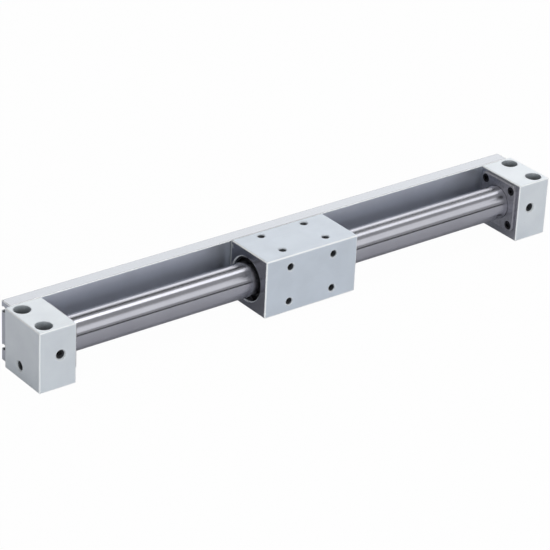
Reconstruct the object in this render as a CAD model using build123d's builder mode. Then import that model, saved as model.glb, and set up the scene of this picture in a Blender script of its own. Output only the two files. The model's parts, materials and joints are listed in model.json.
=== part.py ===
"""Rodless pneumatic cylinder with a magnetically coupled carriage, 15 mm bore, 200 mm stroke.

X runs along the tube, Y points back to the switch rail and Z points up. The origin lies on the base,
under the tube's axis, midway between the two end blocks. All sizes are millimetres.
"""
from build123d import *
import math
import os

# Travel
stroke = 200.0
end_clearance = 2.5
stop_gap = 0.35

# Clearances between pieces
running_gap = 0.03
seat_gap = 0.05
free_gap = 0.3

# Cylinder tube
tube_bore_radius = 7.5
tube_wall = 0.8
tube_radius = tube_bore_radius + tube_wall

# Carriage length, and what closes each end of its bore, from the end face inwards
carriage_length = 53.0
carriage_half = carriage_length / 2
snap_ring_setback = 0.9
snap_ring_thickness = 1.0
snap_ring_band = 1.3
snap_ring_opening = 4.2
snap_eye_radius = 0.95
snap_eye_hole_radius = 0.45
snap_ring_turn = 232.0
scraper_width = 2.4
bearing_width = 4.0
outer_spacer_length = 3.0
snap_ring_start = carriage_half - snap_ring_setback - snap_ring_thickness
scraper_start = snap_ring_start - seat_gap - scraper_width
bearing_start = scraper_start - seat_gap - bearing_width
sleeve_half = bearing_start - seat_gap

# Magnet stacks, which fill the room between the spacers with the same rhythm inside and outside the tube
magnet_count = 4
yoke_length = 2.0
stack_half = sleeve_half - outer_spacer_length - seat_gap
magnet_length = (2 * stack_half - (magnet_count + 1) * yoke_length) / magnet_count
magnet_setback = 0.2
inner_yoke_radius = tube_bore_radius - free_gap
outer_ring_wall = 1.7
outer_ring_inner = tube_radius + free_gap
outer_ring_radius = outer_ring_inner + outer_ring_wall

# Sleeve that holds the outer stack
sleeve_wall = 0.4
sleeve_inner = outer_ring_radius + seat_gap
sleeve_radius = sleeve_inner + sleeve_wall

# Carriage walls, measured from the tube's axis
carriage_bore = sleeve_radius + seat_gap
snap_groove_depth = 0.5
snap_groove_radius = carriage_bore + snap_groove_depth
rear_wall = 0.9
front_wall = 4.4
top_wall = 4.1
bottom_wall = 3.5
carriage_rear = snap_groove_radius + rear_wall
carriage_front = carriage_bore + front_wall
carriage_top = carriage_bore + top_wall
carriage_bottom = carriage_bore + bottom_wall
carriage_edge = 0.5
bore_mouth_chamfer = 0.4

# Tapped holes of the carriage, M4, just short enough for the front ones to miss the top ones
tap_radius = 1.65
tap_mouth_radius = 2.1
tap_pitch_x = 25.0
top_tap_pitch_y = 16.5
front_tap_pitch_z = 17.8
tap_web = 0.4
tap_depth = carriage_front - top_tap_pitch_y / 2 - tap_radius - tap_web

# Height of the tube's axis over the base
carriage_lift = 2.2
axis_height = carriage_bottom + carriage_lift

# Plate that clamps the tube into an end block, and its screws, M2.5
plate_margin = 4.0
plate_half = tube_radius + plate_margin
plate_corner = 3.0
plate_thickness = 3.0
plate_pocket = 1.6
plate_fit = 0.1
plate_edge = 0.3
clamp_screw_inset = 3.1
clamp_screw_offset = plate_half - clamp_screw_inset
clamp_screw_radius = 1.25
clamp_head_radius = 2.1
clamp_head_height = 1.8
clamp_screw_reach = 6.0
clamp_key = 2.0
head_fit = 0.15

# End blocks
end_block_length = 19.0
pocket_wall_top = 1.1
pocket_wall_side = 1.8
end_block_height = axis_height + plate_half + plate_fit + pocket_wall_top
end_block_half_depth = plate_half + plate_fit + pocket_wall_side
block_edge = 0.4
block_gap = stroke + carriage_length + 2 * end_clearance
overall_length = block_gap + 2 * end_block_length

# Tube seat in an end block, with its gasket and its retaining ring
socket_depth = 4.0
tube_length = block_gap + 2 * (plate_pocket + socket_depth - seat_gap)
spigot_radius = tube_bore_radius - seat_gap
gasket_width = 1.6
gasket_depth = 1.2
gasket_setback = 0.8
tube_ring_groove = 0.25
tube_ring_thickness = 0.8
tube_ring_band = 2.0
tube_ring_opening = 5.0
tube_ring_radius = tube_radius - tube_ring_groove + tube_ring_band
tube_ring_start = plate_pocket - seat_gap - tube_ring_thickness

# Mounting holes of the end blocks, for M4 cap screws from above
mount_hole_radius = 2.15
mount_head_radius = 4.0
mount_head_depth = 4.2
mount_hole_setback = 5.6
mount_hole_pitch_y = 17.5

# Air ports, and the tapped holes in the end faces, M5
port_radius = 2.1
port_mouth_radius = 2.75
port_setback = 11.0
end_tap_depth = 7.0
end_tap_y = 2.2
end_tap_z = 6.5

# Pistons, their rings and their nuts
shaft_radius = 2.5
shaft_thread_radius = 2.0
shaft_overhang = 0.8
piston_radius = tube_bore_radius - 0.2
piston_length = 7.9
seal_width = 2.2
seal_depth = 1.7
seal_setback = 1.2
band_width = 2.6
band_depth = 0.7
band_setback = 1.1
nut_across_flats = 7.0
nut_height = 2.2
nut_fit = 0.55
piston_start = stack_half + seat_gap
piston_face = piston_start + piston_length

# Stops and air passage in an end block
bumper_thickness = 2.7
bumper_face = stroke / 2 + piston_face + stop_gap
spigot_length = block_gap / 2 - bumper_face - bumper_thickness
passage_radius = nut_across_flats / math.sqrt(3) + nut_fit
passage_end_wall = 7.0

# Switch rail and its screws, M3
rail_thickness = 7.0
rail_setback = 2.7
rail_length = overall_length - 2 * rail_setback
rail_front = end_block_half_depth
rail_rear = rail_front + rail_thickness
rail_edge = 0.3
switch_slot_radius = 1.5
switch_slot_mouth = 2.2
switch_slot_cover = 0.5
switch_slot_offset = 9.5
rail_screw_radius = 1.5
rail_head_radius = 2.75
rail_head_height = 2.6
rail_head_recess = 3.6
rail_key = 2.5
rail_screw_bite = 4.6
rail_screw_inset = 5.0
rail_screw_pitch_z = 9.0

# Guide pad between the carriage and the switch rail, and its screws, M2
pad_front = carriage_rear
pad_rear = rail_front - free_gap
pad_half_length = carriage_half - 1.0
pad_half_height = carriage_bottom - 1.2
pad_rib_height = 1.6
pad_rib_depth = 1.2
pad_rib_offset = pad_half_height - pad_rib_height / 2
pad_screw_radius = 1.0
pad_head_radius = 1.7
pad_head_sink = 0.2
pad_screw_bite = 2.6
pad_screw_pitch_x = 40.0
pad_screw_pitch_z = 17.4

# Magnet that works the switches
switch_magnet_length = 12.0
switch_magnet_height = 3.6
switch_magnet_depth = 2.6
switch_magnet_offset = 9.0

sides = (("left", -1), ("right", 1))

os.makedirs("parts", exist_ok=True)


def save(piece, name):
    """Name a finished piece and write it."""
    piece.label = name
    export_step(piece, f"parts/{name}.step")


def cross_plane(side, distance):
    """Plane across the tube, at a distance from the middle of the travel, looking outwards."""
    return Plane(origin=(side * distance, 0, axis_height), x_dir=(0, 1, 0), z_dir=(side, 0, 0))


def block_plane(side, depth):
    """Plane across the tube, at a depth inside an end block's inner face, looking outwards."""
    return cross_plane(side, block_gap / 2 + depth)


def rear_plane(x, y):
    """Plane that looks backwards from the height of the tube's axis."""
    return Plane(origin=(x, y, axis_height), x_dir=(1, 0, 0), z_dir=(0, 1, 0))


def ring(side, start, end, inner, outer):
    """Plain ring round the tube's axis, from one distance to another along one side."""
    with BuildPart() as body:
        with BuildSketch(cross_plane(side, start)):
            Circle(outer)
            Circle(inner, mode=Mode.SUBTRACT)
        extrude(amount=end - start)
    return body.part


def turned_ring(side, profile):
    """Ring turned round the tube's axis from a profile of (distance, radius) points."""
    points = [(side * distance, axis_height + radius) for distance, radius in profile]
    with BuildPart() as body:
        with BuildSketch(Plane.XZ):
            with BuildLine():
                Polyline(*points, close=True)
            make_face()
        revolve(axis=Axis((0, 0, axis_height), (1, 0, 0)))
    return body.part


def cap_screws(places, radius, reach, head_radius, head_height, key):
    """Group of cap screws; each place is the plane under a head, looking out of it."""
    with BuildPart() as screws:
        with BuildSketch(*places):
            Circle(head_radius)
        extrude(amount=head_height)
        with BuildSketch(*places):
            Circle(radius)
        extrude(amount=-reach)
        with BuildSketch(*[place.offset(head_height) for place in places]):
            RegularPolygon(key / 2, 6, major_radius=False)
        extrude(amount=-head_height / 2, mode=Mode.SUBTRACT)
    return screws.part


# Cylinder tube, with a shallow groove near each end for its retaining ring
with BuildPart() as cylinder_tube:
    with BuildSketch(cross_plane(1, -tube_length / 2)):
        Circle(tube_radius)
        Circle(tube_bore_radius, mode=Mode.SUBTRACT)
    extrude(amount=tube_length)
    for name, side in sides:
        with BuildSketch(block_plane(side, tube_ring_start - seat_gap)):
            Circle(tube_radius + free_gap)
            Circle(tube_radius - tube_ring_groove, mode=Mode.SUBTRACT)
        extrude(amount=tube_ring_thickness + 2 * seat_gap, mode=Mode.SUBTRACT)
save(cylinder_tube.part, "cylinder_tube")


def end_block(side):
    """Machined end block: plate pocket, tube socket round a spigot, air passage and all its holes."""
    block_start = block_gap / 2 if side > 0 else -overall_length / 2
    mount_x = side * (overall_length / 2 - mount_hole_setback)
    port_x = side * (overall_length / 2 - port_setback)
    rail_x = side * (block_gap / 2 + rail_screw_inset)
    pocket_size = 2 * (plate_half + plate_fit)
    with BuildPart() as block:
        with BuildSketch(Plane.YZ.offset(block_start)):
            with Locations((0, end_block_height / 2)):
                Rectangle(2 * end_block_half_depth, end_block_height)
        extrude(amount=end_block_length)
        chamfer(block.edges(), block_edge)

        # Pocket for the clamp plate
        with BuildSketch(block_plane(side, 0)):
            RectangleRounded(pocket_size, pocket_size, plate_corner + plate_fit)
        extrude(amount=plate_pocket, mode=Mode.SUBTRACT)

        # Socket for the tube's end, round the spigot that carries the gasket and the bumper
        with BuildSketch(block_plane(side, plate_pocket)):
            Circle(tube_radius + seat_gap)
            Circle(spigot_radius, mode=Mode.SUBTRACT)
        extrude(amount=socket_depth, mode=Mode.SUBTRACT)
        with BuildSketch(block_plane(side, -spigot_length)):
            Circle(spigot_radius)
        extrude(amount=spigot_length + plate_pocket)
        with BuildSketch(block_plane(side, plate_pocket + gasket_setback)):
            Circle(tube_radius)
            Circle(spigot_radius - gasket_depth, mode=Mode.SUBTRACT)
        extrude(amount=gasket_width, mode=Mode.SUBTRACT)

        # Air passage through the spigot to the port
        with BuildSketch(block_plane(side, -spigot_length)):
            Circle(passage_radius)
        extrude(amount=spigot_length + end_block_length - passage_end_wall, mode=Mode.SUBTRACT)
        with Locations(Plane(origin=(port_x, -end_block_half_depth, axis_height), z_dir=(0, -1, 0))):
            CounterSinkHole(port_radius, port_mouth_radius, depth=end_block_half_depth, counter_sink_angle=90)

        # Mounting holes and the tapped hole in the end face
        with Locations(Plane(origin=(mount_x, 0, end_block_height))):
            with GridLocations(0, mount_hole_pitch_y, 1, 2):
                CounterBoreHole(mount_hole_radius, mount_head_radius, mount_head_depth)
        with Locations(Plane(origin=(side * overall_length / 2, end_tap_y, end_tap_z), z_dir=(side, 0, 0))):
            CounterSinkHole(port_radius, port_mouth_radius, depth=end_tap_depth, counter_sink_angle=90)

        # Holes for the clamp plate's screws and the rail's screws
        with BuildSketch(block_plane(side, plate_pocket)):
            with GridLocations(2 * clamp_screw_offset, 2 * clamp_screw_offset, 2, 2):
                Circle(clamp_screw_radius + seat_gap)
        extrude(amount=clamp_screw_reach, mode=Mode.SUBTRACT)
        with Locations(rear_plane(rail_x, end_block_half_depth)):
            with GridLocations(0, rail_screw_pitch_z, 1, 2):
                Hole(rail_screw_radius + seat_gap, depth=rail_screw_bite + free_gap)
    return block.part


def clamp_plate(side):
    """Square plate that holds the tube's retaining ring against the end block."""
    with BuildPart() as plate:
        with BuildSketch(block_plane(side, plate_pocket - plate_thickness)):
            RectangleRounded(2 * plate_half, 2 * plate_half, plate_corner)
        extrude(amount=plate_thickness)
        outer_face = plate.faces().sort_by(Axis((0, 0, 0), (-side, 0, 0)))[-1]
        chamfer(outer_face.edges(), plate_edge)
        with BuildSketch(block_plane(side, plate_pocket - plate_thickness)):
            Circle(tube_radius + head_fit)
            with GridLocations(2 * clamp_screw_offset, 2 * clamp_screw_offset, 2, 2):
                Circle(clamp_screw_radius + seat_gap)
        extrude(amount=plate_thickness, mode=Mode.SUBTRACT)
        with BuildSketch(block_plane(side, plate_pocket - plate_thickness)):
            with GridLocations(2 * clamp_screw_offset, 2 * clamp_screw_offset, 2, 2):
                Circle(clamp_head_radius + head_fit)
        extrude(amount=clamp_head_height, mode=Mode.SUBTRACT)
        with BuildSketch(block_plane(side, tube_ring_start - seat_gap)):
            Circle(tube_ring_radius + head_fit)
        extrude(amount=tube_ring_thickness + 2 * seat_gap, mode=Mode.SUBTRACT)
    return plate.part


def clamp_screws(side):
    """Four cap screws that pull the clamp plate into its pocket."""
    seat = side * (block_gap / 2 + plate_pocket - plate_thickness + clamp_head_height)
    places = []
    for y in (-clamp_screw_offset, clamp_screw_offset):
        for z in (-clamp_screw_offset, clamp_screw_offset):
            places.append(Plane(origin=(seat, y, axis_height + z), z_dir=(-side, 0, 0)))
    return cap_screws(
        places, clamp_screw_radius, clamp_screw_reach, clamp_head_radius, clamp_head_height, clamp_key
    )


def open_ring(plane, inner, outer, thickness, opening, turn):
    """Retaining ring with a gap that points along the turn angle."""
    with BuildPart() as body:
        with BuildSketch(plane):
            Circle(outer)
            Circle(inner, mode=Mode.SUBTRACT)
            with Locations(Location((0, 0), turn)):
                Rectangle(2 * outer, opening, align=(Align.MIN, Align.CENTER), mode=Mode.SUBTRACT)
        extrude(amount=thickness)
    return body.part


def tube_gasket(side):
    """O-ring in the spigot's groove, squeezed by the tube's bore."""
    gasket_outer = tube_bore_radius - running_gap
    gasket_inner = spigot_radius - gasket_depth + seat_gap
    section = (gasket_outer - gasket_inner) / 2
    middle = block_gap / 2 + plate_pocket + gasket_setback + gasket_width / 2
    with BuildPart() as gasket:
        with BuildSketch(Plane.XZ):
            with Locations((side * middle, axis_height + gasket_inner + section)):
                Circle(section)
        revolve(axis=Axis((0, 0, axis_height), (1, 0, 0)))
    return gasket.part


for name, side in sides:
    save(end_block(side), f"end_block_{name}")
    save(clamp_plate(side), f"clamp_plate_{name}")
    save(clamp_screws(side), f"clamp_screws_{name}")
    save(tube_gasket(side), f"tube_gasket_{name}")
    retaining_ring = open_ring(
        block_plane(side, tube_ring_start),
        tube_radius - tube_ring_groove + seat_gap,
        tube_ring_radius,
        tube_ring_thickness,
        tube_ring_opening,
        90,
    )
    save(retaining_ring, f"tube_retaining_ring_{name}")
    bumper_end = bumper_face + bumper_thickness
    bumper = ring(side, bumper_face, bumper_end, passage_radius + seat_gap, tube_bore_radius - free_gap)
    save(bumper, f"bumper_{name}")

# Switch rail, a flat extrusion with two round switch slots along its rear face
rail_screw_x = block_gap / 2 + rail_screw_inset
with BuildPart() as switch_rail:
    with BuildSketch(Plane.YZ.offset(-rail_length / 2)):
        with Locations(((rail_front + rail_rear) / 2, end_block_height / 2)):
            Rectangle(rail_thickness, end_block_height)
    extrude(amount=rail_length)
    chamfer(switch_rail.edges(), rail_edge)
    with BuildSketch(Plane.YZ.offset(-rail_length / 2)):
        with Locations((rail_rear - switch_slot_cover - switch_slot_radius, axis_height)):
            with GridLocations(0, 2 * switch_slot_offset, 1, 2):
                Circle(switch_slot_radius)
        with Locations((rail_rear, axis_height)):
            with GridLocations(0, 2 * switch_slot_offset, 1, 2):
                Rectangle(2 * (switch_slot_cover + switch_slot_radius), switch_slot_mouth)
    extrude(amount=rail_length, mode=Mode.SUBTRACT)
    with Locations(rear_plane(0, rail_rear)):
        with GridLocations(2 * rail_screw_x, rail_screw_pitch_z, 2, 2):
            CounterBoreHole(rail_screw_radius + seat_gap, rail_head_radius + head_fit, rail_head_recess)
save(switch_rail.part, "switch_rail")

rail_screw_places = []
for x in (-rail_screw_x, rail_screw_x):
    for z in (-rail_screw_pitch_z / 2, rail_screw_pitch_z / 2):
        seat = (x, rail_rear - rail_head_recess, axis_height + z)
        rail_screw_places.append(Plane(origin=seat, z_dir=(0, 1, 0)))
rail_screw_length = rail_thickness - rail_head_recess + rail_screw_bite
rail_screws = cap_screws(
    rail_screw_places, rail_screw_radius, rail_screw_length, rail_head_radius, rail_head_height, rail_key
)
save(rail_screws, "rail_screws")

# Carriage body, bored for the outer stack and tapped on its top and front
carriage_middle_y = (carriage_rear - carriage_front) / 2
carriage_middle_z = axis_height + (carriage_top - carriage_bottom) / 2
switch_magnet_plane = Plane(
    origin=(0, carriage_rear, axis_height - switch_magnet_offset), x_dir=(1, 0, 0), z_dir=(0, 1, 0)
)
with BuildPart() as carriage_body:
    with BuildSketch(Plane.YZ.offset(-carriage_half)):
        with Locations((carriage_middle_y, carriage_middle_z)):
            Rectangle(carriage_front + carriage_rear, carriage_top + carriage_bottom)
    extrude(amount=carriage_length)
    chamfer(carriage_body.edges(), carriage_edge)
    with BuildSketch(cross_plane(1, -carriage_half)):
        Circle(carriage_bore)
    extrude(amount=carriage_length, mode=Mode.SUBTRACT)
    chamfer(carriage_body.edges().filter_by(GeomType.CIRCLE), bore_mouth_chamfer)
    for name, side in sides:
        with BuildSketch(cross_plane(side, snap_ring_start - seat_gap)):
            Circle(snap_groove_radius)
        extrude(amount=snap_ring_thickness + 2 * seat_gap, mode=Mode.SUBTRACT)

    # Tapped holes for the load
    with Locations(Plane(origin=(0, 0, axis_height + carriage_top))):
        with GridLocations(tap_pitch_x, top_tap_pitch_y, 2, 2):
            CounterSinkHole(tap_radius, tap_mouth_radius, depth=tap_depth, counter_sink_angle=90)
    with Locations(Plane(origin=(0, -carriage_front, axis_height), z_dir=(0, -1, 0), x_dir=(1, 0, 0))):
        with GridLocations(tap_pitch_x, front_tap_pitch_z, 2, 2):
            CounterSinkHole(tap_radius, tap_mouth_radius, depth=tap_depth, counter_sink_angle=90)

    # Rear face: grooves for the pad's ribs, its screw holes and the pocket of the switch magnet
    with BuildSketch(rear_plane(0, carriage_rear)):
        with GridLocations(0, 2 * pad_rib_offset, 1, 2):
            Rectangle(carriage_length, pad_rib_height + 2 * seat_gap)
    extrude(amount=-pad_rib_depth - seat_gap, mode=Mode.SUBTRACT)
    with Locations(rear_plane(0, carriage_rear)):
        with GridLocations(pad_screw_pitch_x, pad_screw_pitch_z, 2, 2):
            Hole(pad_screw_radius + seat_gap, depth=pad_screw_bite + free_gap)
    with BuildSketch(switch_magnet_plane):
        Rectangle(switch_magnet_length + 2 * seat_gap, switch_magnet_height + 2 * seat_gap)
    extrude(amount=-switch_magnet_depth - seat_gap, mode=Mode.SUBTRACT)
save(carriage_body.part, "carriage_body")

with BuildPart() as switch_magnet:
    with BuildSketch(switch_magnet_plane):
        Rectangle(switch_magnet_length, switch_magnet_height)
    extrude(amount=-switch_magnet_depth)
save(switch_magnet.part, "switch_magnet")

# Guide pad, held by two ribs and four sunk screws, that keeps the carriage from turning
with BuildPart() as guide_pad:
    with BuildSketch(rear_plane(0, pad_front)):
        Rectangle(2 * pad_half_length, 2 * pad_half_height)
    extrude(amount=pad_rear - pad_front)
    with BuildSketch(rear_plane(0, pad_front)):
        with GridLocations(0, 2 * pad_rib_offset, 1, 2):
            Rectangle(2 * pad_half_length, pad_rib_height)
    extrude(amount=-pad_rib_depth)
    with Locations(rear_plane(0, pad_rear)):
        with GridLocations(pad_screw_pitch_x, pad_screw_pitch_z, 2, 2):
            CounterSinkHole(
                pad_screw_radius + seat_gap, pad_head_radius + pad_head_sink + seat_gap, counter_sink_angle=90
            )
save(guide_pad.part, "guide_pad")

with BuildPart() as pad_screws:
    with Locations(rear_plane(0, pad_rear - pad_head_sink)):
        with GridLocations(pad_screw_pitch_x, pad_screw_pitch_z, 2, 2):
            Cone(
                pad_screw_radius,
                pad_head_radius,
                pad_head_radius - pad_screw_radius,
                align=(Align.CENTER, Align.CENTER, Align.MAX),
            )
            Cylinder(
                pad_screw_radius,
                pad_rear - pad_head_sink - pad_front + pad_screw_bite,
                align=(Align.CENTER, Align.CENTER, Align.MAX),
            )
save(pad_screws.part, "pad_screws")

# Magnets and yokes, stacked alternately from one end of the stack to the other
for index in range(magnet_count + 1):
    yoke_start = -stack_half + index * (yoke_length + magnet_length)
    yoke_end = yoke_start + yoke_length
    outer_yoke = ring(1, yoke_start, yoke_end, outer_ring_inner, outer_ring_radius)
    inner_yoke = ring(1, yoke_start, yoke_end, shaft_radius + seat_gap, inner_yoke_radius)
    save(outer_yoke, f"outer_yoke_{index + 1}")
    save(inner_yoke, f"inner_yoke_{index + 1}")
for index in range(magnet_count):
    magnet_start = -stack_half + yoke_length + index * (yoke_length + magnet_length)
    magnet_end = magnet_start + magnet_length
    outer_radius = outer_ring_radius - magnet_setback
    inner_radius = inner_yoke_radius - magnet_setback
    outer_magnet = ring(1, magnet_start, magnet_end, outer_ring_inner, outer_radius)
    inner_magnet = ring(1, magnet_start, magnet_end, shaft_radius + seat_gap, inner_radius)
    save(outer_magnet, f"outer_magnet_{index + 1}")
    save(inner_magnet, f"inner_magnet_{index + 1}")

# Sleeve of the outer stack
save(ring(1, -sleeve_half, sleeve_half, sleeve_inner, sleeve_radius), "slider_sleeve")


def bearing_ring(side):
    """Resin bearing that runs on the tube, with a grease groove in its bore."""
    with BuildPart() as bearing:
        with BuildSketch(cross_plane(side, bearing_start)):
            Circle(sleeve_radius)
            Circle(tube_radius + running_gap, mode=Mode.SUBTRACT)
        extrude(amount=bearing_width)
        with BuildSketch(cross_plane(side, bearing_start + 3 * bearing_width / 8)):
            Circle(tube_radius + free_gap)
        extrude(amount=bearing_width / 4, mode=Mode.SUBTRACT)
    return bearing.part


def scraper_profile():
    """Section of the scraper: a solid foot and a lip that leans out along the tube."""
    lip = tube_radius + running_gap
    foot = (lip + sleeve_radius) / 2
    end = scraper_start + scraper_width
    return [
        (scraper_start, sleeve_radius),
        (end, sleeve_radius),
        (end, foot + 0.5),
        (end - 1.1, foot),
        (end, lip + 0.35),
        (end, lip),
        (end - 0.5, lip),
        (end - 1.5, lip + 0.5),
        (scraper_start, lip + 0.5),
    ]


def snap_ring(side):
    """Internal retaining ring of the carriage, with an eye on each side of its gap."""
    outer = snap_groove_radius - seat_gap
    inner = outer - snap_ring_band
    eye_centre = inner - snap_eye_hole_radius / 2
    eye_swing = math.degrees(math.asin((snap_ring_opening / 2 + snap_eye_radius) / eye_centre))
    turn = side * snap_ring_turn
    with BuildPart() as body:
        with BuildSketch(cross_plane(side, snap_ring_start)):
            Circle(outer)
            Circle(inner, mode=Mode.SUBTRACT)
            with Locations(Location((0, 0), turn)):
                Rectangle(2 * outer, snap_ring_opening, align=(Align.MIN, Align.CENTER), mode=Mode.SUBTRACT)
            for swing in (turn - eye_swing, turn + eye_swing):
                angle = math.radians(swing)
                with Locations((eye_centre * math.cos(angle), eye_centre * math.sin(angle))):
                    Circle(snap_eye_radius)
                    Circle(snap_eye_hole_radius, mode=Mode.SUBTRACT)
        extrude(amount=snap_ring_thickness)
    return body.part


for name, side in sides:
    spacer = ring(side, stack_half + seat_gap, sleeve_half, outer_ring_inner, outer_ring_radius)
    save(spacer, f"outer_spacer_{name}")
    save(bearing_ring(side), f"bearing_ring_{name}")
    save(turned_ring(side, scraper_profile()), f"scraper_{name}")
    save(snap_ring(side), f"snap_ring_{name}")


def piston(side):
    """Piston disc with a groove for its wear band and a deeper one for its seal."""
    with BuildPart() as disc:
        with BuildSketch(cross_plane(side, piston_start)):
            Circle(piston_radius)
            Circle(shaft_radius + seat_gap, mode=Mode.SUBTRACT)
        extrude(amount=piston_length)
        with BuildSketch(cross_plane(side, piston_start + band_setback)):
            Circle(tube_bore_radius)
            Circle(piston_radius - band_depth, mode=Mode.SUBTRACT)
        extrude(amount=band_width + 2 * seat_gap, mode=Mode.SUBTRACT)
        with BuildSketch(cross_plane(side, piston_face - seal_setback - seal_width - 2 * seat_gap)):
            Circle(tube_bore_radius)
            Circle(piston_radius - seal_depth, mode=Mode.SUBTRACT)
        extrude(amount=seal_width + 2 * seat_gap, mode=Mode.SUBTRACT)
    return disc.part


def seal_profile():
    """Section of the lip seal: a foot towards the magnets and two lips towards the air."""
    inner = piston_radius - seal_depth + seat_gap
    outer = tube_bore_radius - running_gap
    start = piston_face - seal_setback - seat_gap - seal_width
    end = start + seal_width
    middle = (inner + outer) / 2
    return [
        (start, inner),
        (end, inner),
        (end, middle - 0.35),
        (end - 1.0, middle),
        (end, middle + 0.35),
        (end, outer),
        (end - 0.5, outer),
        (start + 0.5, outer - 0.15),
        (start, outer - 0.3),
    ]


def piston_nut(side):
    """Thin hexagon nut that holds a piston on the shaft."""
    with BuildPart() as nut:
        with BuildSketch(cross_plane(side, piston_face + seat_gap)):
            RegularPolygon(nut_across_flats / 2, 6, major_radius=False)
            Circle(shaft_thread_radius + seat_gap, mode=Mode.SUBTRACT)
        extrude(amount=nut_height)
    return nut.part


for name, side in sides:
    band_start = piston_start + band_setback + seat_gap
    band_inner = piston_radius - band_depth + seat_gap
    band_outer = tube_bore_radius - running_gap
    save(piston(side), f"piston_{name}")
    save(turned_ring(side, seal_profile()), f"piston_seal_{name}")
    save(ring(side, band_start, band_start + band_width, band_inner, band_outer), f"piston_wear_band_{name}")
    save(piston_nut(side), f"piston_nut_{name}")

# Shaft through the inner stack and the pistons, threaded at both ends
thread_end = piston_face + seat_gap + nut_height + shaft_overhang
with BuildPart() as piston_shaft:
    with BuildSketch(cross_plane(1, -piston_face)):
        Circle(shaft_radius)
    extrude(amount=2 * piston_face)
    with BuildSketch(cross_plane(1, -thread_end)):
        Circle(shaft_thread_radius)
    extrude(amount=2 * thread_end)
save(piston_shaft.part, "piston_shaft")

print("overall length", overall_length, "block height", end_block_height, "axis height", axis_height)
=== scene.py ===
"""Looks of the rodless pneumatic cylinder: finishes, threads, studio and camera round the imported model."""
import bmesh
import bpy
import json
import math
from mathutils import Matrix, Vector


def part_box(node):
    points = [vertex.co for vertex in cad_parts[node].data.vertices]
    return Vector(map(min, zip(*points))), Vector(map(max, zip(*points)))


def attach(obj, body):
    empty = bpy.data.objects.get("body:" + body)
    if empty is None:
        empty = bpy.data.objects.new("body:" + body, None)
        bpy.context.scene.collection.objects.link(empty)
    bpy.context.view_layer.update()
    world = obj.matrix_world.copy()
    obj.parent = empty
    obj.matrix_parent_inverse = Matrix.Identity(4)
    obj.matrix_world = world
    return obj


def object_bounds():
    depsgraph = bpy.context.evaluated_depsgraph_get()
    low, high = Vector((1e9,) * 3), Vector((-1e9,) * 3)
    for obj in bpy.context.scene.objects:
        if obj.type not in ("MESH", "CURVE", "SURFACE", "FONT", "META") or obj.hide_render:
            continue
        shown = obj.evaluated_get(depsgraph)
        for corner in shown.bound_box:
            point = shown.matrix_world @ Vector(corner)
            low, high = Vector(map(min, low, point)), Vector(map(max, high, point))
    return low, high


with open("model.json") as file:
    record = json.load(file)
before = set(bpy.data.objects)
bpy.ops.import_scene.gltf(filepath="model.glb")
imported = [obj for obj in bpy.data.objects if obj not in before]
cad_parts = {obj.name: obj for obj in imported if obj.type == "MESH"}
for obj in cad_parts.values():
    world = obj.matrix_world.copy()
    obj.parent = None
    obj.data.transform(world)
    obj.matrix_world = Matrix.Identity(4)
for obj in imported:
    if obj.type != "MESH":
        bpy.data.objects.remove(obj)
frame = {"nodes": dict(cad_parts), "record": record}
cad_low, cad_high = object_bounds()
nodes = frame["nodes"]
mounts = {mount["name"]: mount for mount in frame["record"]["mounts"]}

MM = 0.001
SIDES = (("left", -1), ("right", 1))

# Depth and pitch of the threads, in metres; the frame's mounts give their places and radii
TAP_DEPTH = 0.0049
TAP_PITCH = 0.0007
PORT_DEPTH = 0.0045
END_DEPTH = 0.0070
BLOCK_PITCH = 0.0008

# Form of a thread's ridge, in pitches, and how far its foot is sunk into the wall, in metres
RIDGE_CREST = 0.45
RIDGE_FOOT = 0.42
RIDGE_FLAT = 0.06
RIDGE_START = 0.5
RIDGE_RUNOUT = 1.7
RIDGE_SUNK = 0.00002
STEPS_PER_TURN = 20

# Length of an end block, and how far inside a face its mask starts, in metres
BLOCK_LENGTH = 0.019
FACE_SKIN = 0.00005

# Masks that pick out the milled faces, smoother, more metallic and darker, where the darker colour on the
# blocks' inner faces and the carriage's ends is painted shade: axis, side and distance from the origin
BLOCK_INNER_FACES = ("X", "LESS_THAN", cad_high.x - BLOCK_LENGTH + FACE_SKIN)
CARRIAGE_END_FACES = ("X", "GREATER_THAN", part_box("carriage_body")[1].x - FACE_SKIN)
RAIL_TOP_FACE = ("Z", "GREATER_THAN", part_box("switch_rail")[1].z - FACE_SKIN)
MILLED_ROUGHNESS = 0.22

# Chamfers, with a painted highlight, and holes, with painted shade, of the anodised pieces
# Painted highlight on the chamfers: its near-white colour and its low metallic
PAINTED_EDGE_HIGHLIGHT = (0.97, 0.975, 0.98)
EDGE_HIGHLIGHT_METALLIC = 0.05
LARGE_EDGE = 0.0006
RAIL_EDGE = 0.0005
SMALL_EDGE = 0.0001
# Painted shade in bores, counterbores and tapped holes: its colour and how far the occlusion reaches
PAINTED_HOLE_SHADE = (0.02, 0.021, 0.023)
HOLE_REACH = 0.0055
CUT_GRAIN = (90.0, 900.0, 900.0)
DRAWN_GRAIN = (12.0, 1600.0, 1600.0)

# Studio, in metres
ORIGIN = (0, 0, 0)
SURROUND_LEVEL = 0.34
TENT_RADIUS = 5.5
FLOOR_SIZE = 12.0
FLOOR_Z = -0.0002
FLOOR_COLOUR = (0.70, 0.70, 0.70)
FLOOR_WHITENESS = 0.98
SHEET_SIZE = 3.0
SHEET_Z = -0.0001
SHEET_COLOUR = (0.615, 0.605, 0.62)
DARK_LENGTH = 4.0
DARK_COLOUR = (0.05, 0.05, 0.05)
OVERHEAD_Y = 0.035
OVERHEAD_Z = 1.15
OVERHEAD_DEPTH = 0.38


# Shader building blocks

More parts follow.
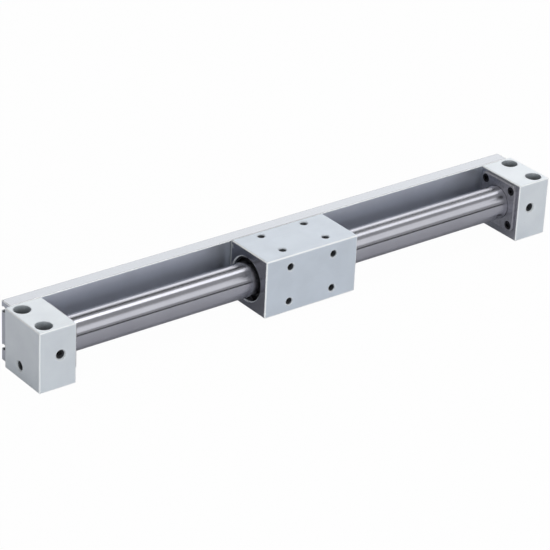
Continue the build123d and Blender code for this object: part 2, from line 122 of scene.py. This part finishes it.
def new_finish(name):
    """A material with its Principled shader and its Object coordinates."""
    material = bpy.data.materials.new(name)
    material.use_nodes = True
    tree = material.node_tree
    shader = tree.nodes["Principled BSDF"]
    coordinates = tree.nodes.new("ShaderNodeTexCoord")
    return material, tree, shader, coordinates.outputs["Object"]


def stretched(tree, vector, scale):
    """Object coordinates scaled per axis, for a grain with a direction."""
    mapping = tree.nodes.new("ShaderNodeMapping")
    mapping.inputs["Scale"].default_value = scale
    tree.links.new(vector, mapping.inputs["Vector"])
    return mapping.outputs["Vector"]


def noise(tree, vector, scale, detail=2.0, roughness=0.5):
    """Noise value between 0 and 1."""
    texture = tree.nodes.new("ShaderNodeTexNoise")
    texture.inputs["Scale"].default_value = scale
    texture.inputs["Detail"].default_value = detail
    texture.inputs["Roughness"].default_value = roughness
    tree.links.new(vector, texture.inputs["Vector"])
    return texture.outputs["Fac"]


def spread(tree, value, low, high, start=0.3, end=0.7):
    """Map a value between start and end onto a range."""
    ramp = tree.nodes.new("ShaderNodeMapRange")
    ramp.inputs["From Min"].default_value = start
    ramp.inputs["From Max"].default_value = end
    ramp.inputs["To Min"].default_value = low
    ramp.inputs["To Max"].default_value = high
    tree.links.new(value, ramp.inputs["Value"])
    return ramp.outputs["Result"]


def maths(tree, operation, first, second):
    """A product, sum or the like of two values."""
    node = tree.nodes.new("ShaderNodeMath")
    node.operation = operation
    tree.links.new(first, node.inputs[0])
    tree.links.new(second, node.inputs[1])
    return node.outputs[0]


def blend_colours(tree, factor, first, second):
    """Mix two colours by a value."""
    mix = tree.nodes.new("ShaderNodeMix")
    mix.data_type = "RGBA"
    mix.inputs[6].default_value = (*first, 1.0)
    mix.inputs[7].default_value = (*second, 1.0)
    tree.links.new(factor, mix.inputs[0])
    return mix.outputs[2]


def mottled(tree, tone, colour, darkest, lightest):
    """A colour that varies between a darker and a lighter one by a noise value."""
    darker = tuple(c * darkest for c in colour)
    lighter = tuple(min(1.0, c * lightest) for c in colour)
    return blend_colours(tree, spread(tree, tone, 0.0, 1.0), darker, lighter)


def bumps(tree, height, distance, strength, base=None):
    """Bump node on a height value, in metres."""
    bump = tree.nodes.new("ShaderNodeBump")
    bump.inputs["Distance"].default_value = distance
    bump.inputs["Strength"].default_value = strength
    tree.links.new(height, bump.inputs["Height"])
    if base is not None:
        tree.links.new(base, bump.inputs["Normal"])
    return bump.outputs["Normal"]


def openness(tree, reach):
    """1 on open faces, less inside bores, counterbores and tapped holes."""
    shelter = tree.nodes.new("ShaderNodeAmbientOcclusion")
    shelter.only_local = True
    shelter.samples = 6
    shelter.inputs["Distance"].default_value = reach
    return shelter.outputs["AO"]


def with_painted_shade(tree, colour, light, shade_colour):
    """Colour with painted shade laid on where less light gets in."""
    mix = tree.nodes.new("ShaderNodeMix")
    mix.data_type = "RGBA"
    mix.inputs[6].default_value = (*shade_colour, 1.0)
    tree.links.new(spread(tree, light, 0.0, 1.0, start=0.24, end=0.94), mix.inputs[0])
    tree.links.new(colour, mix.inputs[7])
    return mix.outputs[2]


def face_mask(tree, vector, axis, side, distance):
    """1 on the faces beyond, or within, a distance from the origin along one axis."""
    split = tree.nodes.new("ShaderNodeSeparateXYZ")
    tree.links.new(vector, split.inputs[0])
    away = tree.nodes.new("ShaderNodeMath")
    away.operation = "ABSOLUTE"
    tree.links.new(split.outputs[axis], away.inputs[0])
    beyond = tree.nodes.new("ShaderNodeMath")
    beyond.operation = side
    beyond.inputs[1].default_value = distance
    tree.links.new(away.outputs[0], beyond.inputs[0])
    return beyond.outputs[0]


def broken_edge(tree, radius):
    """Normal that rounds sharp edges as deburring does."""
    bevel = tree.nodes.new("ShaderNodeBevel")
    bevel.samples = 4
    bevel.inputs["Radius"].default_value = radius
    return bevel.outputs["Normal"]


def edge_highlight_mask(tree, rounded):
    """1 on chamfers and on the margins of upright faces beside them, 0 on the faces: where the painted
    highlight goes.
    """
    flat = tree.nodes.new("ShaderNodeNewGeometry")
    normal = flat.outputs["True Normal"]
    match = tree.nodes.new("ShaderNodeVectorMath")
    match.operation = "DOT_PRODUCT"
    tree.links.new(rounded, match.inputs[0])
    tree.links.new(normal, match.inputs[1])
    margin = spread(tree, match.outputs["Value"], 1.0, 0.0, start=0.93, end=0.995)
    size = tree.nodes.new("ShaderNodeVectorMath")
    size.operation = "ABSOLUTE"
    tree.links.new(normal, size.inputs[0])
    split = tree.nodes.new("ShaderNodeSeparateXYZ")
    tree.links.new(size.outputs["Vector"], split.inputs[0])
    upright = spread(tree, split.outputs["Z"], 1.0, 0.0)
    sideways = maths(tree, "MAXIMUM", split.outputs["X"], split.outputs["Y"])
    largest = maths(tree, "MAXIMUM", sideways, split.outputs["Z"])
    chamfer = spread(tree, largest, 1.0, 0.0, start=0.75, end=0.85)
    return maths(tree, "MAXIMUM", maths(tree, "MULTIPLY", margin, upright), chamfer)


def over(tree, colour, mask, top):
    """A second colour laid over the first where the mask is 1."""
    mix = tree.nodes.new("ShaderNodeMix")
    mix.data_type = "RGBA"
    mix.inputs[7].default_value = (*top, 1.0)
    tree.links.new(mask, mix.inputs[0])
    tree.links.new(colour, mix.inputs[6])
    return mix.outputs[2]


def over_value(tree, value, mask, top):
    """A second value laid over the first where the mask is 1."""
    mix = tree.nodes.new("ShaderNodeMix")
    mix.inputs[3].default_value = top
    tree.links.new(mask, mix.inputs[0])
    tree.links.new(value, mix.inputs[2])
    return mix.outputs[0]


# Finishes

def anodised(name, colour, roughness, grain, metallic, edge, milled, darker_face_colour):
    """Satin anodised aluminium: fine grain along one axis, a painted highlight on the chamfers, painted
    shade in the holes, some faces milled smooth with a darker colour that is painted shade on the carriage's
    ends and the blocks' inner faces.
    """
    material, tree, shader, vector = new_finish(name)
    cloud = noise(tree, vector, scale=70.0, detail=3.0, roughness=0.55)
    tone = mottled(tree, cloud, colour, darkest=0.955, lightest=1.03)
    rounded = broken_edge(tree, edge)
    light = openness(tree, HOLE_REACH)
    outside = spread(tree, light, 0.0, 1.0, start=0.85, end=0.98)
    # Where the painted highlight goes: chamfers and their margins, kept out of the holes
    edges = maths(tree, "MULTIPLY", edge_highlight_mask(tree, rounded), outside)
    lines = noise(tree, stretched(tree, vector, grain), scale=1.0, detail=3.0, roughness=0.6)
    satin = spread(tree, lines, roughness - 0.05, roughness + 0.07)
    metal = spread(tree, edges, metallic, EDGE_HIGHLIGHT_METALLIC, start=0.0, end=1.0)
    smooth = face_mask(tree, vector, *milled)
    # On the blocks' inner faces and the carriage's ends this darker colour is painted shade, beside their
    # smoother metal that reflects the dark surroundings
    tone = over(tree, tone, smooth, darker_face_colour)
    satin = over_value(tree, satin, smooth, MILLED_ROUGHNESS)
    metal = over_value(tree, metal, smooth, 1.0)
    # Painted highlight laid over the chamfers
    tone = over(tree, tone, edges, PAINTED_EDGE_HIGHLIGHT)
    # Painted shade inside the holes
    tone = with_painted_shade(tree, tone, light, PAINTED_HOLE_SHADE)
    tree.links.new(tone, shader.inputs["Base Color"])
    tree.links.new(satin, shader.inputs["Roughness"])
    tree.links.new(metal, shader.inputs["Metallic"])
    peen = noise(tree, vector, scale=5200.0, detail=1.0)
    fine = bumps(tree, peen, distance=0.00001, strength=0.25, base=rounded)
    normal = bumps(tree, lines, distance=0.000006, strength=0.35, base=fine)
    tree.links.new(normal, shader.inputs["Normal"])
    shader.inputs["IOR"].default_value = 1.6
    return material


def ground_steel(name):
    """Centreless-ground stainless tube: polished, with fine rings round it and faint lengthwise wear."""
    material, tree, shader, vector = new_finish(name)
    rings = noise(tree, stretched(tree, vector, (3200.0, 30.0, 30.0)), scale=1.0, roughness=0.6)
    bands = noise(tree, stretched(tree, vector, (55.0, 10.0, 10.0)), scale=1.0)
    wear = noise(tree, stretched(tree, vector, (6.0, 700.0, 700.0)), scale=1.0)
    tint = blend_colours(tree, spread(tree, bands, 0.0, 1.0), (0.595, 0.60, 0.66), (0.645, 0.65, 0.71))
    tree.links.new(tint, shader.inputs["Base Color"])
    tree.links.new(spread(tree, wear, 0.155, 0.215), shader.inputs["Roughness"])
    normal = bumps(tree, rings, distance=0.0000015, strength=0.30)
    tree.links.new(normal, shader.inputs["Normal"])
    along = tree.nodes.new("ShaderNodeCombineXYZ")
    along.inputs["X"].default_value = 1.0
    tree.links.new(along.outputs[0], shader.inputs["Tangent"])
    shader.inputs["Anisotropic"].default_value = 1.0
    shader.inputs["Metallic"].default_value = 1.0
    return material


def plain_metal(name, colour, roughness, scale=900.0):
    """Plain metal with small tone and roughness changes and broken edges."""
    material, tree, shader, vector = new_finish(name)
    tone = noise(tree, vector, scale, detail=3.0, roughness=0.6)
    varied = mottled(tree, tone, colour, darkest=0.82, lightest=1.15)
    tree.links.new(varied, shader.inputs["Base Color"])
    tree.links.new(spread(tree, tone, roughness - 0.07, roughness + 0.09), shader.inputs["Roughness"])
    normal = bumps(tree, tone, distance=0.00001, strength=0.3, base=broken_edge(tree, SMALL_EDGE))
    tree.links.new(normal, shader.inputs["Normal"])
    shader.inputs["Metallic"].default_value = 1.0
    return material


def moulded(name, colour, roughness, gloss=0.5):
    """Resin or rubber with a fine moulded grain."""
    material, tree, shader, vector = new_finish(name)
    tone = noise(tree, vector, scale=2600.0, roughness=0.6)
    varied = mottled(tree, tone, colour, darkest=0.8, lightest=1.2)
    tree.links.new(varied, shader.inputs["Base Color"])
    tree.links.new(spread(tree, tone, roughness - 0.08, roughness + 0.08), shader.inputs["Roughness"])
    normal = bumps(tree, tone, distance=0.00002, strength=0.3, base=broken_edge(tree, SMALL_EDGE))
    tree.links.new(normal, shader.inputs["Normal"])
    shader.inputs["Specular IOR Level"].default_value = gloss
    return material


finishes = {
    # The blocks' inner faces: smoother metal with a darker colour that is painted shade
    "anodised_block": anodised(
        "anodised_block", (0.895, 0.94, 0.985), roughness=0.375, grain=CUT_GRAIN, metallic=0.6,
        edge=LARGE_EDGE, milled=BLOCK_INNER_FACES, darker_face_colour=(0.56, 0.57, 0.62),
    ),
    # The carriage's ends: smoother metal with a darker colour that is painted shade
    "anodised_carriage": anodised(
        "anodised_carriage", (0.78, 0.84, 0.915), roughness=0.435, grain=CUT_GRAIN, metallic=0.6,
        edge=LARGE_EDGE, milled=CARRIAGE_END_FACES, darker_face_colour=(0.385, 0.39, 0.43),
    ),
    "anodised_rail": anodised(
        "anodised_rail", (0.67, 0.70, 0.77), roughness=0.36, grain=DRAWN_GRAIN, metallic=0.85,
        edge=RAIL_EDGE, milled=RAIL_TOP_FACE, darker_face_colour=(0.55, 0.57, 0.605),
    ),
    "tube_steel": ground_steel("tube_steel"),
    "plate_steel": plain_metal("plate_steel", (0.60, 0.60, 0.645), 0.34),
    "screw_steel": plain_metal("screw_steel", (0.06, 0.06, 0.065), 0.33, scale=1500.0),
    "spring_steel": plain_metal("spring_steel", (0.09, 0.09, 0.095), 0.30, scale=1500.0),
    "yoke_steel": plain_metal("yoke_steel", (0.50, 0.50, 0.51), 0.30),
    "magnet_nickel": plain_metal("magnet_nickel", (0.66, 0.64, 0.60), 0.14),
    "piston_aluminium": plain_metal("piston_aluminium", (0.76, 0.76, 0.77), 0.28),
    "bearing_resin": moulded("bearing_resin", (0.035, 0.035, 0.038), 0.42),
    "pad_resin": moulded("pad_resin", (0.60, 0.61, 0.62), 0.48),
    "seal_rubber": moulded("seal_rubber", (0.014, 0.014, 0.015), 0.60, gloss=0.12),
    "bumper_rubber": moulded("bumper_rubber", (0.045, 0.045, 0.05), 0.5),
}

# Dark colour of the thread ridges: painted shade of the tapped holes they stand in
shaded_thread_finish = plain_metal("tapped_thread_shade", (0.15, 0.155, 0.165), 0.30)

slot_of = {part["node"]: part["material_slot"] for part in frame["record"]["subparts"]}
for name, node in nodes.items():
    node.data.materials.clear()
    node.data.materials.append(finishes[slot_of[name]])


# Threads

def placed(name, bm):
    """Object of a finished bmesh, in the scene."""
    mesh = bpy.data.meshes.new(name)
    bm.to_mesh(mesh)
    bm.free()
    thing = bpy.data.objects.new(name, mesh)
    bpy.context.scene.collection.objects.link(thing)
    return thing


def hole_mouth(piece, mount):
    """Point where a mount's axis leaves the piece that holds it."""
    low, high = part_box(piece)
    point = Vector(mount["pos_m"])
    for i, direction in enumerate(mount["axis"]):
        if direction:
            point[i] = high[i] if direction > 0 else low[i]
    return point


def thread(name, mouth, outward, radius, depth, pitch, body):
    """Helical ridge that stands on a tapped hole's wall below its countersink."""
    outward = Vector(outward)
    across = outward.orthogonal().normalized()
    first_turn = mouth - outward * (depth - RIDGE_START * pitch)
    turns = depth / pitch - RIDGE_RUNOUT
    crest = RIDGE_CREST * pitch
    foot = RIDGE_FOOT * pitch
    flat = RIDGE_FLAT * pitch
    bm = bmesh.new()
    corners = []
    for along, inward in ((-foot, -RIDGE_SUNK), (-flat, crest), (flat, crest), (foot, -RIDGE_SUNK)):
        corners.append(bm.verts.new(first_turn + outward * along + across * (radius - inward)))
    profile = [bm.edges.new((corners[i - 1], corners[i])) for i in range(4)]
    bmesh.ops.spin(
        bm, geom=corners + profile, cent=first_turn, axis=outward,
        dvec=outward * (pitch / STEPS_PER_TURN), angle=2 * math.pi * turns,
        steps=round(STEPS_PER_TURN * turns), use_merge=False, use_normal_flip=False,
        use_duplicate=False, space=Matrix.Identity(4),
    )
    bmesh.ops.holes_fill(bm, edges=[edge for edge in bm.edges if edge.is_boundary], sides=4)
    bmesh.ops.recalc_face_normals(bm, faces=bm.faces)
    ridge = placed(name, bm)
    for face in ridge.data.polygons:
        face.use_smooth = True
    ridge.data.materials.append(shaded_thread_finish)
    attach(ridge, body)


def carriage_thread(name, mount, along, across):
    """Thread in one of the four holes of a bolt pattern; along and across are -1 or 1 and say which."""
    dims = mount["dims"]
    length = Vector((1, 0, 0))
    width = Vector(mount["axis"]).cross(length)
    mouth = hole_mouth("carriage_body", mount)
    mouth += length * along * dims["spacing_x_mm"] / 2 * MM
    mouth += width * across * dims["spacing_y_mm"] / 2 * MM
    radius = dims["hole_r_mm"] * MM
    thread(name, mouth, mount["axis"], radius, TAP_DEPTH, TAP_PITCH, "carriage")


def block_thread(name, piece, mount, depth):
    """Thread in an end block's air port or end hole."""
    radius = mount["dims"]["r_mm"] * MM
    mouth = hole_mouth(piece, mount)
    thread(name, mouth, mount["axis"], radius, depth, BLOCK_PITCH, "frame")


for side, along in SIDES:
    for level, across in (("lower", -1), ("upper", 1)):
        carriage_thread(f"thread_front_{level}_{side}", mounts["carriage_front_bolts"], along, across)
    for row, across in (("front", -1), ("rear", 1)):
        carriage_thread(f"thread_top_{row}_{side}", mounts["carriage_top_bolts"], along, across)
    block_thread(f"thread_port_{side}", f"end_block_{side}", mounts[f"air_port_{side}"], PORT_DEPTH)
    block_thread(f"thread_end_{side}", f"end_block_{side}", mounts[f"end_thread_{side}"], END_DEPTH)


# Studio

def stage_sheet(name, width, depth, matrix, colour):
    """Matt flat sheet of the studio, with its material."""
    bm = bmesh.new()
    bmesh.ops.create_grid(bm, x_segments=1, y_segments=1, size=0.5)
    bmesh.ops.scale(bm, vec=(width, depth, 1.0), verts=bm.verts)
    bmesh.ops.transform(bm, matrix=matrix, verts=bm.verts)
    sheet = placed(name, bm)
    material = bpy.data.materials.new(name)
    material.use_nodes = True
    shader = material.node_tree.nodes["Principled BSDF"]
    shader.inputs["Base Color"].default_value = (*colour, 1.0)
    shader.inputs["Roughness"].default_value = 0.9
    shader.inputs["Specular IOR Level"].default_value = 0.0
    sheet.data.materials.append(material)
    return sheet, material


def hide_from_all_but_metal(thing):
    """Leave a thing to reflections only."""
    thing.visible_camera = False
    thing.visible_diffuse = False
    thing.visible_shadow = False
    thing.visible_transmission = False


def card(name, width, depth, matrix, colour):
    """Grey card that only polished metal sees, as set round it in a studio."""
    sheet, _ = stage_sheet(name, width, depth, matrix, colour)
    hide_from_all_but_metal(sheet)


def seen_directly(tree):
    """1 where the camera, a reflection or a clear piece sees the surface."""
    path = tree.nodes.new("ShaderNodeLightPath")
    total = path.outputs["Is Camera Ray"]
    for kind in ("Is Glossy Ray", "Is Transmission Ray"):
        add = tree.nodes.new("ShaderNodeMath")
        add.operation = "ADD"
        add.use_clamp = True
        tree.links.new(total, add.inputs[0])
        tree.links.new(path.outputs[kind], add.inputs[1])
        total = add.outputs[0]
    return total


def whiten(material, share):
    """The floor is seen mostly in the white of the backdrop, and keeps its shadows."""
    tree = material.node_tree
    glow = tree.nodes.new("ShaderNodeEmission")
    glow.inputs["Color"].default_value = (1.0, 1.0, 1.0, 1.0)
    amount = tree.nodes.new("ShaderNodeMath")
    amount.operation = "MULTIPLY"
    amount.inputs[1].default_value = share
    tree.links.new(seen_directly(tree), amount.inputs[0])
    mix = tree.nodes.new("ShaderNodeMixShader")
    tree.links.new(amount.outputs[0], mix.inputs[0])
    tree.links.new(tree.nodes["Principled BSDF"].outputs[0], mix.inputs[1])
    tree.links.new(glow.outputs[0], mix.inputs[2])
    tree.links.new(mix.outputs[0], tree.nodes["Material Output"].inputs["Surface"])


def set_world(level):
    """Even surroundings that light the object at one level and are seen white."""
    world = bpy.data.worlds.new("studio")
    world.use_nodes = True
    bpy.context.scene.world = world
    tree = world.node_tree
    background = tree.nodes["Background"]
    background.inputs["Color"].default_value = (1.0, 1.0, 1.0, 1.0)
    strength = spread(tree, seen_directly(tree), level, 1.0, start=0.0, end=1.0)
    tree.links.new(strength, background.inputs["Strength"])


def tent(level, radius):
    """Grey tent round the set, which only polished metal sees."""
    bm = bmesh.new()
    bmesh.ops.create_icosphere(bm, subdivisions=4, radius=radius)
    cloth = placed("tent", bm)
    material = bpy.data.materials.new("tent")
    material.use_nodes = True
    tree = material.node_tree
    glow = tree.nodes.new("ShaderNodeEmission")
    glow.inputs["Strength"].default_value = level
    tree.links.new(glow.outputs[0], tree.nodes["Material Output"].inputs["Surface"])
    cloth.data.materials.append(material)
    hide_from_all_but_metal(cloth)


def softbox(name, place, target, width, height, level):
    """Rectangular lamp aimed at a point; its level is the brightness of its face."""
    lamp = bpy.data.lights.new(name, "AREA")
    lamp.shape = "RECTANGLE"
    lamp.size = width
    lamp.size_y = height
    lamp.energy = level * width * height * math.pi
    holder = bpy.data.objects.new(name, lamp)
    aim = Vector(place) - Vector(target)
    holder.matrix_world = Matrix.Translation(place) @ aim.to_track_quat("Z", "Y").to_matrix().to_4x4()
    bpy.context.scene.collection.objects.link(holder)
    return holder


def fill(name, place, width, height, level, colour):
    """Tinted softbox that no reflection shows."""
    holder = softbox(name, place, ORIGIN, width, height, level)
    holder.visible_glossy = False
    holder.data.color = colour


floor_place = Matrix.Translation((0, 0, FLOOR_Z))
_, floor_material = stage_sheet("floor", FLOOR_SIZE, FLOOR_SIZE, floor_place, FLOOR_COLOUR)
whiten(floor_material, FLOOR_WHITENESS)
set_world(SURROUND_LEVEL)
tent(SURROUND_LEVEL, TENT_RADIUS)
softbox("back_panel", (0.85, 1.30, 0.66), target=ORIGIN, width=2.2, height=0.85, level=1.0)
for name, middle, length, level in (("near", 0.15, 0.7, 2.15), ("far", 1.10, 1.2, 0.9)):
    softbox(
        f"overhead_{name}", (middle, OVERHEAD_Y, OVERHEAD_Z), target=(middle, 0, 0),
        width=length, height=OVERHEAD_DEPTH, level=level,
    )
softbox("front_panel", (0.95, -1.40, 1.05), target=ORIGIN, width=2.2, height=0.95, level=0.55)
fill("front_fill", (-0.32, -1.30, 0.40), width=1.3, height=0.6, level=4.4, colour=(0.91, 0.965, 1.0))
fill("left_fill", (-1.30, -0.25, 0.55), width=0.8, height=0.6, level=0.25, colour=(0.45, 0.70, 1.0))
card("grey_sheet", SHEET_SIZE, SHEET_SIZE, Matrix.Translation((0, 0, SHEET_Z)), SHEET_COLOUR)
standing = Matrix.Translation((0.8, -0.9, 0.05)) @ Matrix.Rotation(math.radians(90), 4, "X")
card("dark_strip", DARK_LENGTH, 0.15, standing, DARK_COLOUR)
leaning = Matrix.Translation((0.75, 0.72, 1.10)) @ Matrix.Rotation(math.radians(-33), 4, "X")
card("dark_beam", DARK_LENGTH, 0.30, leaning, DARK_COLOUR)


# Camera

def place_camera():
    """Camera where the photo was taken from, found from the object's corners."""
    turn = math.radians(-38.363)
    rise = math.radians(27.515)
    roll = math.radians(2.841)
    place = Vector((-0.67122, -0.83585, 0.56907))
    back = Vector((math.sin(turn) * math.cos(rise), -math.cos(turn) * math.cos(rise), math.sin(rise)))
    right = (-back).cross(Vector((0, 0, 1))).normalized()
    up = right.cross(-back)
    right_rolled = right * math.cos(roll) + up * math.sin(roll)
    up_rolled = up * math.cos(roll) - right * math.sin(roll)
    lens = bpy.data.cameras.new("camera")
    lens.sensor_fit = "HORIZONTAL"
    lens.sensor_width = 36.0
    lens.lens = 169.0
    lens.clip_start = 0.01
    lens.clip_end = 50.0
    holder = bpy.data.objects.new("camera", lens)
    matrix = Matrix((right_rolled, up_rolled, back)).transposed().to_4x4()
    matrix.translation = place
    holder.matrix_world = matrix
    bpy.context.scene.collection.objects.link(holder)
    bpy.context.scene.camera = holder


place_camera()
bpy.context.scene.view_settings.view_transform = "Standard"
